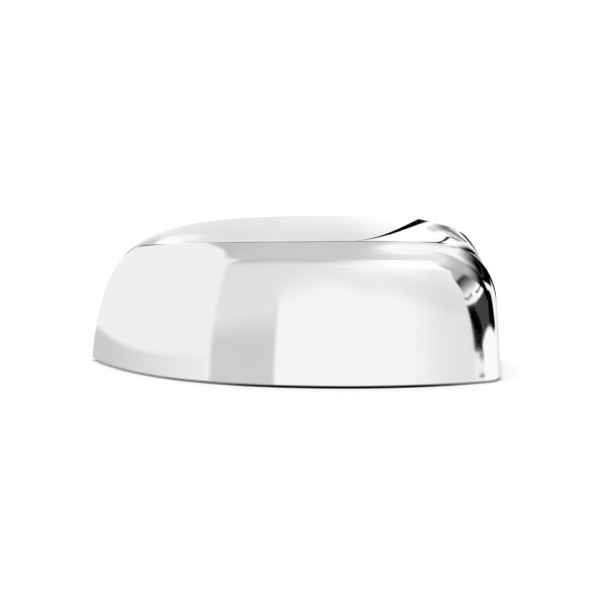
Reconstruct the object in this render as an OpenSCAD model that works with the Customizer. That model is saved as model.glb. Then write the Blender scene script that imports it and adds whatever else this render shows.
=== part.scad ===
// Wing mirror cover: the upper cap of a car's door mirror, moulded in one piece and bright plated.
// X runs from the inboard end to the outboard end, Y from front to rear, Z up.
// The origin lies on the bottom rim's plane, in the middle of the length and the depth. The curves below
// measure y from the foremost point of the bottom rim, and the finished cover is moved forward by half
// its depth.

/* [Overall size] */
// Length from the inboard end to the outboard end
cover_length = 240; // [204:1:280]
// Depth from the foremost point of the bottom rim to the plane of the rear rim
cover_depth = 80; // [68:1:94]
// Height of the rear rim at its highest point
cover_height = 85.5; // [72:0.5:100]
// Thickness of the moulded wall
wall = 2.5; // [1.8:0.1:3.2]

/* [Bottom rim] */
// Foremost point of the rim, to the outboard side of the middle
nose_offset = 31; // [15:1:42]
// Angle between straight forward and the rim at its inboard end
inboard_angle = 22; // [12:1:30]
// Distance from the foremost point back to where the outboard corner begins
outboard_setback = 14.5; // [10:0.5:20]
// Angle of the front wall, seen from above, where the outboard corner begins
outboard_angle = 20; // [12:1:26]
// Radius of the outboard corner, seen from above
corner_radius = 12; // [8:0.5:15]

/* [Crease] */
// Distance of the crease behind the foremost point of the rim
crease_setback = 17.5; // [13:0.5:22]
// Rise from the crease to the highest point of the rear rim
top_rise = 2.5; // [0:0.5:5]
// Drop of the crease from the front to its inboard tip
inboard_drop = 16.5; // [10:0.5:22]
// Drop of the crease from the front to its outboard tip
outboard_drop = 50; // [38:1:58]
// Distance of the inboard tip from the inboard end
inboard_inset = 24; // [16:1:32]
// Distance of the outboard tip from the outboard end
outboard_inset = 3.4; // [2:0.2:6]

/* [Lean of the front wall] */
// Degrees from upright at the bottom rim: inboard end, front, outboard end
rim_lean = [3, 1.5, 0.5]; // [0:0.5:5]
// Degrees from upright where the roll to the top begins: inboard end, front, outboard end
roll_lean = [20, 8, 4]; // [2:0.5:24]
// Degrees from upright at the crease: inboard end, front, outboard end
crease_lean = [50, 78, 16]; // [6:1:82]

/* [Top] */
// Crown of the top between the crease and the rear rim
top_crown = 1.2; // [0.5:0.1:2.5]
// Highest point of the rear rim, to the outboard side of the middle
crest_offset = 20; // [0:1:32]
// Start of the step on the crease, to the outboard side of the middle
step_start = 24; // [5:1:35]
// End of the step on the rear rim, to the outboard side of the middle
step_end = 71.5; // [60:0.5:80]
// Fall of the rear rim from its highest point to the step
step_fall = 1.6; // [0.5:0.1:3]
// Width of the step's bevel at the rear rim
step_width = 7.5; // [4:0.5:10]
// Drop across the step's bevel at the rear rim
step_drop = 1.8; // [1:0.1:3.5]

/* [Stiffening ribs] */
// Number of ribs inside the front wall and the top
rib_count = 5; // [2:1:7]
// Thickness of a rib
rib_thickness = 1.5; // [1:0.1:2]
// Height of a rib over the wall
rib_height = 5; // [3:0.5:8]
// Height at which a rib starts on the front wall
rib_start = 22; // [18:1:30]
// Reach of a rib behind the crease
rib_reach = 24; // [12:1:34]

/* [Snap clips] */
// Number of clips along the rear rim
rear_clips = 4; // [2:1:6]
// Number of clips along the bottom rim
bottom_clips = 4; // [2:1:6]
// Width of a clip's tongue
clip_width = 10; // [7:0.5:14]
// Thickness of a clip's tongue
clip_thickness = 2; // [1.5:0.1:2.6]
// Length of a clip's tongue
clip_length = 12; // [9:0.5:16]
// Gap between a clip's tongue and the wall
clip_gap = 3.5; // [2.5:0.5:5]
// Distance from a clip's tip to the rim
clip_inset = 3; // [2:0.5:5]
// Height of a clip's hook
hook_height = 1.8; // [1:0.1:2.5]

/* [Hidden] */

half_length = cover_length / 2;
crease_height = cover_height - top_rise;
step_height = cover_height - step_fall;

// Columns of the front wall: inboard sweep, front, outboard corner, outboard side
sweep_columns = 28;
front_columns = 16;
corner_columns = 12;
side_columns = 10;
front_end = sweep_columns + front_columns;
corner_end = front_end + corner_columns;
columns = corner_end + side_columns;
// Rows of the front wall below and in the roll, and rows of the top
lower_rows = 5;
roll_rows = 9;
rows = lower_rows + roll_rows;
top_rows = 11;

// Fullness of the curves: how far a handle reaches along the stretch that it shapes
inboard_handle = 0.56;
sweep_handle = 0.63;
front_handle = 0.35;
crease_handle = [0.58, 0.54];
crease_side_handle = [0.97, 0.8];
crest_handle = [0.22, 0.5];
shoulder_handle = [0.74, 0.8];
// Share of the outboard half of the crease that is done where the corner begins and ends
crease_at_corner = [0.53, 0.7];
// Share of the inboard rear rim that is done at the crest
crest_share = 0.7;
// Bend of the step's line: 1 is straight, less makes it leave the crease more gently
step_bend = 0.4;
bend_reach = 3;
// Opening of the bevel along the step: 1 widens it evenly, less opens it sooner
step_opening = 0.45;
// Crowding of the top's rows towards the crease
row_crowding = 1.5;
// Steepening of the crease's fall along the outboard side
side_fall = 1.15;

// Plain curves

function cubic(a, b, c, d, t) =
    pow(1 - t, 3) * a + 3 * t * pow(1 - t, 2) * b + 3 * t * t * (1 - t) * c + pow(t, 3) * d;
function mix(a, b, t) = a + (b - a) * t;
function ease(t) = t * t * (3 - 2 * t);
function clamp01(t) = min(1, max(0, t));
function unit(v) = v / norm(v);
function heading(angle) = [cos(angle), sin(angle)];

// Place of a column within a stretch of the rim, from 0 to 1
function within(i, first, last) = clamp01((i - first) / (last - first));

// Bottom rim, seen from above

nose = [nose_offset, 0];
inboard_rear = [-half_length, cover_depth];
corner_centre = [
    half_length - corner_radius,
    outboard_setback + corner_radius * cos(outboard_angle)
];
corner_start = corner_centre + corner_radius * heading(outboard_angle - 90);
front_length = corner_start.x - nose.x;

function rim_sweep(t) = cubic(
    inboard_rear,
    inboard_rear + inboard_handle * cover_depth * heading(inboard_angle - 90),
    nose - [sweep_handle * (nose.x - inboard_rear.x), 0],
    nose,
    t
);
function rim_front(t) = cubic(
    nose,
    nose + [front_handle * front_length, 0],
    corner_start - front_handle * front_length * heading(outboard_angle),
    corner_start,
    t
);
function rim_corner(t) = corner_centre + corner_radius * heading(mix(outboard_angle - 90, 0, t));
function rim_side(t) = [half_length, mix(corner_centre.y, cover_depth, t)];
function rim(i) =
    i <= sweep_columns ? rim_sweep(within(i, 0, sweep_columns)) :
    i <= front_end ? rim_front(within(i, sweep_columns, front_end)) :
    i <= corner_end ? rim_corner(within(i, front_end, corner_end)) :
    rim_side(within(i, corner_end, columns));

// Crease, from its inboard tip to its outboard tip

inboard_tip = [-half_length + inboard_inset, cover_depth];
outboard_tip = [half_length - outboard_inset, cover_depth];
crease_run = cover_depth - crease_setback;
crease_turn = [step_start, crease_setback];

function crease_inboard(t) = cubic(
    inboard_tip,
    inboard_tip + crease_handle[0] * crease_run * heading(inboard_angle / 2 - 90),
    crease_turn - [crease_handle[1] * (crease_turn.x - inboard_tip.x), 0],
    crease_turn,
    t
);
function crease_outboard(t) = cubic(
    crease_turn,
    crease_turn + [crease_side_handle[0] * (outboard_tip.x - crease_turn.x), 0],
    outboard_tip - crease_side_handle[1] * crease_run * heading(90 - crease_lean[2] * 0.7),
    outboard_tip,
    t
);
function crease_share(i) =
    i <= front_end ? mix(0, crease_at_corner[0], within(i, sweep_columns, front_end)) :
    i <= corner_end ? mix(crease_at_corner[0], crease_at_corner[1], within(i, front_end, corner_end)) :
    mix(crease_at_corner[1], 1, within(i, corner_end, columns));
function crease_plan(i) =
    i <= sweep_columns ? crease_inboard(within(i, 0, sweep_columns)) : crease_outboard(crease_share(i));
function crease(i) =
    let (
        p = crease_plan(i),
        back = clamp01((p.y - crease_setback) / crease_run),
        fall = i <= sweep_columns ? inboard_drop * back : outboard_drop * pow(back, side_fall)
    )
    [p.x, p.y, crease_height - fall];

// Front wall: each column is two arcs that meet smoothly, a flat one from the rim and a tight one,
// the roll, up to the crease

function station(v, i) =
    i <= sweep_columns ? mix(v[0], v[1], ease(within(i, 0, sweep_columns))) :
    mix(v[1], v[2], within(i, corner_end, columns));

// The roll turns at least this much past the angle at which it would just reach the crease
least_roll = 4;
// Radii of the two arcs that together reach across by run and up by rise
function arc_radii(low, mid, high, run, rise) =
    let (
        a = cos(low) - cos(mid),
        b = cos(mid) - cos(high),
        c = sin(mid) - sin(low),
        d = sin(high) - sin(mid),
        area = a * d - b * c
    )
    [(run * d - b * rise) / area, (a * rise - run * c) / area];

function front_point(i, j) =
    let (
        foot = rim(i),
        top = crease(i),
        across = [top.x - foot.x, top.y - foot.y],
        low = station(rim_lean, i),
        mid = station(roll_lean, i),
        slope = atan2(norm(across), top.z),
        high = max(station(crease_lean, i), 2 * slope - mid + least_roll),
        radii = arc_radii(low, mid, high, norm(across), top.z),
        lower_angle = mix(low, mid, clamp01(j / lower_rows)),
        upper_angle = mix(mid, high, clamp01((j - lower_rows) / roll_rows)),
        run = radii[0] * (cos(low) - cos(lower_angle)) + radii[1] * (cos(mid) - cos(upper_angle)),
        rise = radii[0] * (sin(lower_angle) - sin(low)) + radii[1] * (sin(upper_angle) - sin(mid)),
        plan = foot + run * unit(across)
    )
    [plan.x, plan.y, rise];

// Rear rim of the top: inboard of the step in two curves that meet at the crest, then the shoulder

crest = [crest_offset, cover_height];
inboard_tip_rise = [inboard_tip.x, crease_height - inboard_drop];
outboard_tip_rise = [outboard_tip.x, crease_height - outboard_drop];
step_top = [step_end, step_height];
step_foot = [step_end + step_width, step_height - step_drop];
crest_run = crest.x - inboard_tip.x;
step_run = step_end - crest_offset;
shoulder_run = outboard_tip.x - step_foot.x;
shoulder_rise = step_foot.y - outboard_tip_rise.y;
shoulder_angle = 13;
step_slope = 3.5;

function rear_inboard(t) =
    t <= crest_share ? cubic(
        inboard_tip_rise,
        inboard_tip_rise + crest_handle[0] * crest_run * heading(90 - crease_lean[0]),
        crest - [crest_handle[1] * crest_run, 0],
        crest,
        t / crest_share
    ) : cubic(
        crest,
        crest + [front_handle * step_run, 0],
        step_top - front_handle * step_run * heading(-step_slope),
        step_top,
        (t - crest_share) / (1 - crest_share)
    );
function rear_outboard(t) = cubic(
    step_foot,
    step_foot + shoulder_handle[0] * shoulder_run * heading(-shoulder_angle),
    outboard_tip_rise + shoulder_handle[1] * shoulder_rise * heading(90 + crease_lean[2]),
    outboard_tip_rise,
    t
);

// Top: columns run from the crease to the rear rim and bend so that one of them is the step's line.
// Outboard of it every column lies lower by the step's drop, which grows towards the rear.

function top_point(m, k) =
    let (
        is_inboard = m <= sweep_columns,
        i = is_inboard ? m : m - 1,
        share = is_inboard ? within(i, 0, sweep_columns) : within(i, sweep_columns, columns),
        near_step = is_inboard ? pow(share, bend_reach) : pow(1 - share, bend_reach),
        from = crease(i),
        to = is_inboard ? rear_inboard(share) : rear_outboard(share),
        v = pow(k / top_rows, row_crowding),
        bevel = is_inboard ? 0 : 1 - share,
        bent = pow(v, mix(1, step_bend, near_step)),
        wide = bevel * step_width,
        crown = top_crown * 4 * v * (1 - v) * clamp01((cover_depth - from.y) / crease_run)
    )
    [
        from.x + (to.x - wide - from.x) * bent + wide * pow(v, step_opening),
        mix(from.y, cover_depth, v),
        mix(from.z, to.y, v) + crown
    ];

// The skin's points are numbered row by row, the front wall first and then the top. The top's first
// row is the crease, and its end columns shrink to the crease's tips.

front_points = [for (j = [0:rows]) for (i = [0:columns]) front_point(i, j)];
top_points = [for (k = [1:top_rows]) for (m = [1:columns]) top_point(m, k)];
skin = concat(front_points, top_points);

function at_front(i, j) = j * (columns + 1) + i;
function at_top(m, k) =
    m <= 0 ? at_front(0, rows) :
    m > columns ? at_front(columns, rows) :
    k == 0 ? at_front(m <= sweep_columns ? m : m - 1, rows) :
    len(front_points) + (k - 1) * columns + m - 1;

// Outward direction at each point, from its neighbours along and across
function outward(along, across) = unit(cross(along, across));
function front_normal(i, j) =
    let (
        left = skin[at_front(max(i - 1, 0), j)],
        right = skin[at_front(min(i + 1, columns), j)],
        below = skin[at_front(i, max(j - 1, 0))],
        above = j < rows ? skin[at_front(i, j + 1)] :
            i == 0 ? skin[at_top(1, top_rows)] :
            i == columns ? skin[at_top(columns, top_rows)] :
            skin[at_top(i <= sweep_columns ? i : i + 1, 1)]
    )
    outward(right - left, above - below);
function top_normal(m, k) =
    outward(
        skin[at_top(m + 1, k)] - skin[at_top(m - 1, k)],
        skin[at_top(m, min(k + 1, top_rows))] - skin[at_top(m, k - 1)]
    );
normals = concat(
    [for (j = [0:rows]) for (i = [0:columns]) front_normal(i, j)],
    [for (k = [1:top_rows]) for (m = [1:columns]) top_normal(m, k)]
);

// A point moved inwards from the skin. Near the rear rim it stays in the rim's plane.
function inward(p, n, amount) =
    let (
        free = ease(clamp01((cover_depth - p.y) / (3 * wall))),
        stretch = 1 + n.y * n.y * (1 - free) / max(0.2, 1 - n.y * n.y)
    )
    [
        p.x - amount * n.x * stretch,
        p.y - amount * n.y * free,
        p.z <= 0 ? 0 : p.z - amount * n.z * stretch
    ];

// Faces, clockwise from outside. A quad with two equal corners becomes one triangle.
function real(face) = face[0] != face[1] && face[1] != face[2] && face[2] != face[0];
function split(a, b, c, d) = [for (face = [[a, b, c], [a, c, d]]) if (real(face)) face];
skin_faces = [
    for (j = [0:rows - 1]) for (i = [0:columns - 1])
        each split(at_front(i, j), at_front(i, j + 1), at_front(i + 1, j + 1), at_front(i + 1, j)),
    for (k = [0:top_rows - 1]) for (m = [0:columns])
        each split(at_top(m, k), at_top(m, k + 1), at_top(m + 1, k + 1), at_top(m + 1, k))
];
inner_from = len(skin);
lining_faces = [for (face = skin_faces) [face[2] + inner_from, face[1] + inner_from, face[0] + inner_from]];
rim_loop = concat(
    [for (j = [0:rows]) at_front(0, j)],
    [for (m = [1:columns]) at_top(m, top_rows)],
    [for (j = [rows:-1:0]) at_front(columns, j)],
    [for (i = [columns - 1:-1:1]) at_front(i, 0)]
);
rim_faces = [
    for (q = [0:len(rim_loop) - 1])
        let (a = rim_loop[q], b = rim_loop[(q + 1) % len(rim_loop)])
        each [[b, a, a + inner_from], [b, a + inner_from, b + inner_from]]
];

// Ribs and clips are spread evenly over the length. A clip sits on the column that comes next before
// its place.
function spread(c, count) = mix(-half_length, half_length, c / (count + 1));
function last_before(x, line) = len([for (q = line) if (skin[q].x < x) q]) - 1;
bottom_line = [for (i = [0:columns]) at_front(i, 0)];
crease_line = [for (i = [0:columns]) at_front(i, rows)];
rear_line = [for (m = [0:columns + 1]) at_top(m, top_rows)];

// A layer of the wall, from one depth below the skin to another
module layer(near, far) {
    polyhedron(
        points = concat(
            [for (q = [0:len(skin) - 1]) inward(skin[q], normals[q], near)],
            [for (q = [0:len(skin) - 1]) inward(skin[q], normals[q], far)]
        ),
        faces = concat(skin_faces, lining_faces, rim_faces),
        convexity = 6
    );
}

// A rib is a slice of a layer that starts a little inside the wall. It runs up the front wall and on
// over the top to its reach behind the crease.
sink = wall / 2;
module rib(r) {
    x = spread(r, rib_count);
    turn = crease(last_before(x, crease_line));
    intersection() {
        layer(wall - sink, wall + rib_height);
        translate([x - rib_thickness / 2, -cover_depth, rib_start])
            cube([rib_thickness, cover_depth + turn.y + rib_reach, cover_height]);
    }
}

// A snap clip: a foot on the wall, a tongue that runs towards the rim and a hook at its tip.
// Local x runs across the tongue, y towards the rim and z away from the wall.
foot_height = clip_gap + clip_thickness;
foot_length = 2 * clip_thickness;
hook_length = 2 * hook_height;
thin = 0.01;
module clip() {
    translate([-clip_width / 2, -clip_length, -sink])
        cube([clip_width, foot_length, foot_height + sink]);
    hull() {
        translate([-clip_width / 2, -clip_length, clip_gap])
            cube([clip_width, foot_length, clip_thickness]);
        translate([-clip_width * 0.4, -clip_thickness / 2, clip_gap])
            cube([clip_width * 0.8, clip_thickness / 2, clip_thickness]);
    }
    hull() {
        translate([-clip_width * 0.4, -hook_length, clip_gap + clip_thickness - thin])
            cube([clip_width * 0.8, hook_length, thin]);
        translate([-clip_width * 0.4, -hook_length, clip_gap + clip_thickness])
            cube([clip_width * 0.8, thin, hook_height]);
    }
}

// Puts a clip on the wall at point p, with its tip towards the rim
module place_clip(p, n, towards) {
    flat = unit(-n + (n * towards) * towards);
    across = cross(towards, flat);
    base = p + flat * wall;
    multmatrix([
        [across.x, towards.x, flat.x, base.x],
        [across.y, towards.y, flat.y, base.y],
        [across.z, towards.z, flat.z, base.z],
        [0, 0, 0, 1]
    ]) clip();
}

module rear_clip(c) {
    q = rear_line[last_before(spread(c, rear_clips), rear_line)];
    place_clip(skin[q] - [0, clip_inset, 0], normals[q], [0, 1, 0]);
}
module bottom_clip(c) {
    q = bottom_line[last_before(spread(c, bottom_clips), bottom_line)];
    place_clip(skin[q] + [0, 0, clip_inset], normals[q], [0, 0, -1]);
}

module mirror_cover() {
    color([0.86, 0.87, 0.88]) translate([0, -cover_depth / 2, 0]) union() {
        layer(0, wall);
        for (r = [1:rib_count])
            rib(r);
        for (c = [1:rear_clips])
            rear_clip(c);
        for (c = [1:bottom_clips])
            bottom_clip(c);
    }
}

mirror_cover();
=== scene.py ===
"""Wing mirror cover: a thin cap with bright plating outside and satin plating inside.

Lengths are in metres. X runs from the inboard end to the outboard end, Y from front to rear, Z up.
The curves measure y from the foremost point of the bottom rim, and the finished mesh is moved forward
by half its depth, to the frame's origin.
"""

import math

import bpy
import numpy as np
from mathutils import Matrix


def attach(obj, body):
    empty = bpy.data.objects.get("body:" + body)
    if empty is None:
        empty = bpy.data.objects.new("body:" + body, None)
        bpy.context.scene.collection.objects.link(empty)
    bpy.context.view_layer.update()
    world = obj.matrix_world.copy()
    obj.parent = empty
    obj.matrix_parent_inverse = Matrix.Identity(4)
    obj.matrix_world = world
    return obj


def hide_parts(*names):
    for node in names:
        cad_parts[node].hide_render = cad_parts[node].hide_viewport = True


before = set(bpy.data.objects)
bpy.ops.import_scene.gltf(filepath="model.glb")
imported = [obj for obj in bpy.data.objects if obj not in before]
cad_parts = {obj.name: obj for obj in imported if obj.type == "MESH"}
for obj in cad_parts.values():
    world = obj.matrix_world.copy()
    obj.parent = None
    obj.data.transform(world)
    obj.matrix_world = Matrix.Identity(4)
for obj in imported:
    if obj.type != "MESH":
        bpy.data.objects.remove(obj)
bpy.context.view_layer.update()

# Overall size
LENGTH = 0.240
DEPTH = 0.080
HEIGHT = 0.0855
WALL = 0.0025
HALF = LENGTH / 2

# Bottom rim. A handle is the share of a curve's run for which it keeps to its direction
NOSE_OFFSET = 0.031
INBOARD_ANGLE = 22.0
OUTBOARD_SETBACK = 0.0145
OUTBOARD_ANGLE = 20.0
CORNER_RADIUS = 0.012
SWEEP_HANDLES = (0.56, 0.63)
FRONT_HANDLE = 0.35

# Crease
CREASE_SETBACK = 0.0175
TOP_RISE = 0.0025
INBOARD_DROP = 0.0165
OUTBOARD_DROP = 0.050
INBOARD_INSET = 0.024
OUTBOARD_INSET = 0.0034
INBOARD_HANDLES = (0.58, 0.54)
OUTBOARD_HANDLES = (0.97, 0.8)
OUTBOARD_SHARES = (0.53, 0.17, 0.30)
ARRIVAL_LEAN = 0.7
FALL_POWER = 1.15
CREASE_Z = HEIGHT - TOP_RISE

# Degrees from upright: inboard end, front, outboard end
RIM_LEAN = (3.0, 1.5, 0.5)
ROLL_LEAN = (20.0, 8.0, 4.0)
CREASE_LEAN = (50.0, 78.0, 16.0)
LEAST_ROLL = 4.0

# Top
TOP_CROWN = 0.0012
CREST_OFFSET = 0.020
CREST_SHARE = 0.7
RISE_HANDLES = (0.22, 0.5)
FALL_HANDLE = 0.35
STEP_START = 0.024
STEP_END = 0.0715
STEP_FALL = 0.0016
STEP_WIDTH = 0.0075
STEP_DROP = 0.0018
STEP_BEND = 0.4
STEP_OPENING = 0.45
STEP_ROUNDING = 0.10
SHOULDER_ANGLE = 13.0
SHOULDER_HANDLES = (0.74, 0.8)
STEP_SLOPE = 3.5
STEP_Z = HEIGHT - STEP_FALL

# Fold in the shoulder, along a line that bends inboard towards the front. Its ends are (start, length)
FOLD_SLOPE = 0.037
FOLD_WIDE = 0.004
FOLD_NARROW = 0.00025
FOLD_X = 0.09884
FOLD_BEND = 0.000333
FOLD_BEND_Y = 0.003
FOLD_START = (0.019, 0.005)
FOLD_END = (0.044, 0.008)

# Stations along the length where the rim's stretches meet
SWEEP_END = 28.0
FRONT_END = 44.0
CORNER_END = 56.0
SIDE_END = 66.0
ROLL_AT = 5.0 / 14.0

# Rounded edges
RIM_ROUNDING = 0.0005
CREASE_ROUNDING = 0.0009
LARGEST_ROUNDING = 0.35

# Ribs and clips
RIB_PLACES = (-0.080, -0.040, 0.0, 0.040, 0.080)
RIB_THICKNESS = 0.0015
RIB_HEIGHT = 0.005
RIB_START = 0.022
RIB_REACH = 0.024
RIB_RAMP = 0.007
RIB_FLARE = 0.0006
RIB_ROUNDING = 0.0004
RIB_TAPER = 0.93
RIB_SINK = 0.0004
RIB_ROWS = 90
CLIP_PLACES = (-0.072, -0.024, 0.024, 0.072)
CLIP_WIDTH = 0.010
CLIP_THICKNESS = 0.002
CLIP_LENGTH = 0.012
CLIP_GAP = 0.0035
CLIP_INSET = 0.003
CLIP_SINK = WALL / 2
CLIP_FLARE = 0.0007
FLARE_HEIGHT = 0.0008
CLIP_ROUNDING = 0.0004
POST_EXTRA = 0.002
TURN_RADIUS = 0.0005
TONGUE_TAPER = 0.8
TIP_ROUNDING = 0.0003
HOOK_HEIGHT = 0.0018
HOOK_LENGTH = 2 * HOOK_HEIGHT


# Plain curves

def cubic(a, leave, arrive, d, t):
    """Point at share t of the cubic curve from a to d that leaves and arrives along these handles."""
    t = t[..., None]
    b, c = a + leave, d - arrive
    return (1 - t) ** 3 * a + 3 * t * (1 - t) ** 2 * b + 3 * t * t * (1 - t) * c + t**3 * d


def mix(a, b, t):
    """Value at share t of the way from a to b."""
    return a + (b - a) * t


def ease(t):
    """Share t with a flat start and end: three t squared less two t cubed."""
    return t * t * (3 - 2 * t)


def ramp(value, start, length):
    """0 up to the start, 1 from a length further on, eased between."""
    return ease(np.clip((value - start) / length, 0, 1))


def within(value, first, last):
    """Share of the way from first to last, held at 0 before and at 1 beyond."""
    return np.clip((value - first) / (last - first), 0, 1)


def heading(degrees):
    """Direction in a plane, so many degrees from its first axis towards its second."""
    angle = np.radians(degrees)
    return np.stack([np.cos(angle), np.sin(angle)], -1)


def unit(v):
    """Each vector drawn out or in to a length of one."""
    return v / np.maximum(np.linalg.norm(v, axis=-1, keepdims=True), 1e-12)


SOFT_REACH = 2.5
SOFT_PLACES = 21
SOFTENING = np.linspace(-SOFT_REACH, SOFT_REACH, SOFT_PLACES)
SOFT_WEIGHTS = np.cos(np.linspace(-np.pi / 2, np.pi / 2, SOFT_PLACES + 2)[1:-1]) ** 2
SOFT_WEIGHTS /= SOFT_WEIGHTS.sum()


def soften(curve, i, first=0.0, last=SIDE_END):
    """The curve's mean over two and a half stations each way, weighted by a squared cosine.

    Past an end the curve goes on as its own image turned about that end, so the ends stay in place.
    """
    place = i[..., None] + SOFTENING
    inside = np.clip(place, first, last)
    value = curve(np.where(place == inside, place, 2 * inside - place))
    end = curve(inside)
    beyond = (place != inside)[..., None]
    return np.einsum("...kd,k->...d", np.where(beyond, 2 * end - value, value), SOFT_WEIGHTS)


# Bottom rim and crease

def rim(i):
    """Plan of the bottom rim: inboard sweep, front, corner arc and straight outboard side."""
    nose = np.array([NOSE_OFFSET, 0.0])
    rear = np.array([-HALF, DEPTH])
    setback = OUTBOARD_SETBACK + CORNER_RADIUS * math.cos(math.radians(OUTBOARD_ANGLE))
    centre = np.array([HALF - CORNER_RADIUS, setback])
    start = centre + CORNER_RADIUS * heading(OUTBOARD_ANGLE - 90)
    sweep = cubic(
        rear,
        SWEEP_HANDLES[0] * DEPTH * heading(INBOARD_ANGLE - 90),
        [SWEEP_HANDLES[1] * (nose[0] - rear[0]), 0],
        nose,
        within(i, 0, SWEEP_END),
    )
    handle = FRONT_HANDLE * (start[0] - nose[0])
    front_share = within(i, SWEEP_END, FRONT_END)
    front = cubic(nose, [handle, 0], handle * heading(OUTBOARD_ANGLE), start, front_share)
    turn = mix(OUTBOARD_ANGLE - 90, 0, within(i, FRONT_END, CORNER_END))
    corner = centre + CORNER_RADIUS * heading(turn)
    side_y = mix(centre[1], DEPTH, within(i, CORNER_END, SIDE_END))
    side = np.stack([np.full_like(side_y, HALF), side_y], -1)
    i = i[..., None]
    return np.select([i <= SWEEP_END, i <= FRONT_END, i <= CORNER_END], [sweep, front, corner], side)


INBOARD_TIP = np.array([-HALF + INBOARD_INSET, DEPTH])
OUTBOARD_TIP = np.array([HALF - OUTBOARD_INSET, DEPTH])
CREASE_RUN = DEPTH - CREASE_SETBACK
CREASE_TURN = np.array([STEP_START, CREASE_SETBACK])


def crease(i):
    """The crease: two plan curves that meet where the step starts, falling towards both tips."""
    inboard = cubic(
        INBOARD_TIP,
        INBOARD_HANDLES[0] * CREASE_RUN * heading(INBOARD_ANGLE / 2 - 90),
        [INBOARD_HANDLES[1] * (CREASE_TURN[0] - INBOARD_TIP[0]), 0],
        CREASE_TURN,
        within(i, 0, SWEEP_END),
    )
    stops = (SWEEP_END, FRONT_END, CORNER_END, SIDE_END)
    share = sum(part * within(i, *ends) for part, *ends in zip(OUTBOARD_SHARES, stops, stops[1:]))
    outboard = cubic(
        CREASE_TURN,
        [OUTBOARD_HANDLES[0] * (OUTBOARD_TIP[0] - CREASE_TURN[0]), 0],
        OUTBOARD_HANDLES[1] * CREASE_RUN * heading(90 - CREASE_LEAN[2] * ARRIVAL_LEAN),
        OUTBOARD_TIP,
        share,
    )
    plan = np.where(i[..., None] <= SWEEP_END, inboard, outboard)
    back = within(plan[..., 1], CREASE_SETBACK, DEPTH)
    fall = np.where(i <= SWEEP_END, INBOARD_DROP * back, OUTBOARD_DROP * back**FALL_POWER)
    return np.concatenate([plan, (CREASE_Z - fall)[..., None]], -1)


def leans(i):
    """Lean of the front wall at the rim, where the roll starts, and at the crease."""
    near, far = ramp(i, 0, SWEEP_END), within(i, CORNER_END, SIDE_END)
    return np.stack([
        np.where(i <= SWEEP_END, mix(inboard, front, near), mix(front, outboard, far))
        for inboard, front, outboard in (RIM_LEAN, ROLL_LEAN, CREASE_LEAN)
    ], -1)


# Front wall

def front_arcs(i):
    """For each station: rim point, direction to the crease, three leans and two radii.

    The radii are those with which the two arcs together reach across and up to the crease.
    """
    foot = soften(rim, i)
    top = soften(crease, i)
    across = top[:, :2] - foot
    run = np.linalg.norm(across, axis=-1)
    low, mid, high = np.radians(soften(leans, i)).T
    high = np.maximum(high, 2 * np.arctan2(run, top[:, 2]) - mid + math.radians(LEAST_ROLL))
    a = np.cos(low) - np.cos(mid)
    b = np.cos(mid) - np.cos(high)
    c = np.sin(mid) - np.sin(low)
    d = np.sin(high) - np.sin(mid)
    area = a * d - b * c
    flat_radius = (run * d - b * top[:, 2]) / area
    roll_radius = (a * top[:, 2] - run * c) / area
    return foot, unit(across), low, mid, high, flat_radius, roll_radius


def front_wall(i, t):
    """Front wall at stations i and heights t (one row of heights for each station).

    From the rim a flat arc leans from low to mid, and then the roll leans from mid to high, up to the
    crease. Each arc's point is its radius times the change of cosine across and of sine upwards.
    """
    foot, across, low, mid, high, flat_radius, roll_radius = (v[:, None] for v in front_arcs(i))
    flat = mix(low, mid, within(t, 0, ROLL_AT))
    roll = mix(mid, high, within(t, ROLL_AT, 1))
    out = flat_radius * (np.cos(low) - np.cos(flat)) + roll_radius * (np.cos(mid) - np.cos(roll))
    up = flat_radius * (np.sin(flat) - np.sin(low)) + roll_radius * (np.sin(roll) - np.sin(mid))
    return np.concatenate([foot + out[..., None] * across, up[..., None]], -1)


# Top

def rear_inboard(i):
    """Rear rim of the top, x and z, from the inboard tip over the crest to the step."""
    s = i / SWEEP_END
    tip = np.array([INBOARD_TIP[0], CREASE_Z - INBOARD_DROP])
    crest = np.array([CREST_OFFSET, HEIGHT])
    step = np.array([STEP_END, STEP_Z])
    to_crest = crest[0] - tip[0]
    rise = cubic(
        tip,
        RISE_HANDLES[0] * to_crest * heading(90 - CREASE_LEAN[0]),
        [RISE_HANDLES[1] * to_crest, 0],
        crest,
        within(s, 0, CREST_SHARE),
    )
    handle = FALL_HANDLE * (step[0] - crest[0])
    fall_share = within(s, CREST_SHARE, 1)
    fall = cubic(crest, [handle, 0], handle * heading(-STEP_SLOPE), step, fall_share)
    return np.where(s[..., None] <= CREST_SHARE, rise, fall)


def rear_outboard(i):
    """Rear rim of the shoulder, x and z, from the foot of the step down to the outboard tip."""
    foot = np.array([STEP_END + STEP_WIDTH, STEP_Z - STEP_DROP])
    tip = np.array([OUTBOARD_TIP[0], CREASE_Z - OUTBOARD_DROP])
    return cubic(
        foot,
        SHOULDER_HANDLES[0] * (tip[0] - foot[0]) * heading(-SHOULDER_ANGLE),
        -SHOULDER_HANDLES[1] * (foot[1] - tip[1]) * heading(90 + CREASE_LEAN[2]),
        tip,
        (i - SWEEP_END) / (SIDE_END - SWEEP_END),
    )


def shoulder_fold(x, y):
    """Rise that bends the shoulder a little more quickly along one line.

    Across the line it is the fold's slope times half of a wide hyperbola less a narrow one.
    """
    line = FOLD_X - FOLD_BEND / (y - FOLD_BEND_Y)
    share = ramp(y, *FOLD_START) * (1 - ramp(y, *FOLD_END))
    wide, narrow = np.hypot(FOLD_WIDE, x - line), np.hypot(FOLD_NARROW, x - line)
    return FOLD_SLOPE * share * (wide - narrow) / 2


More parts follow.
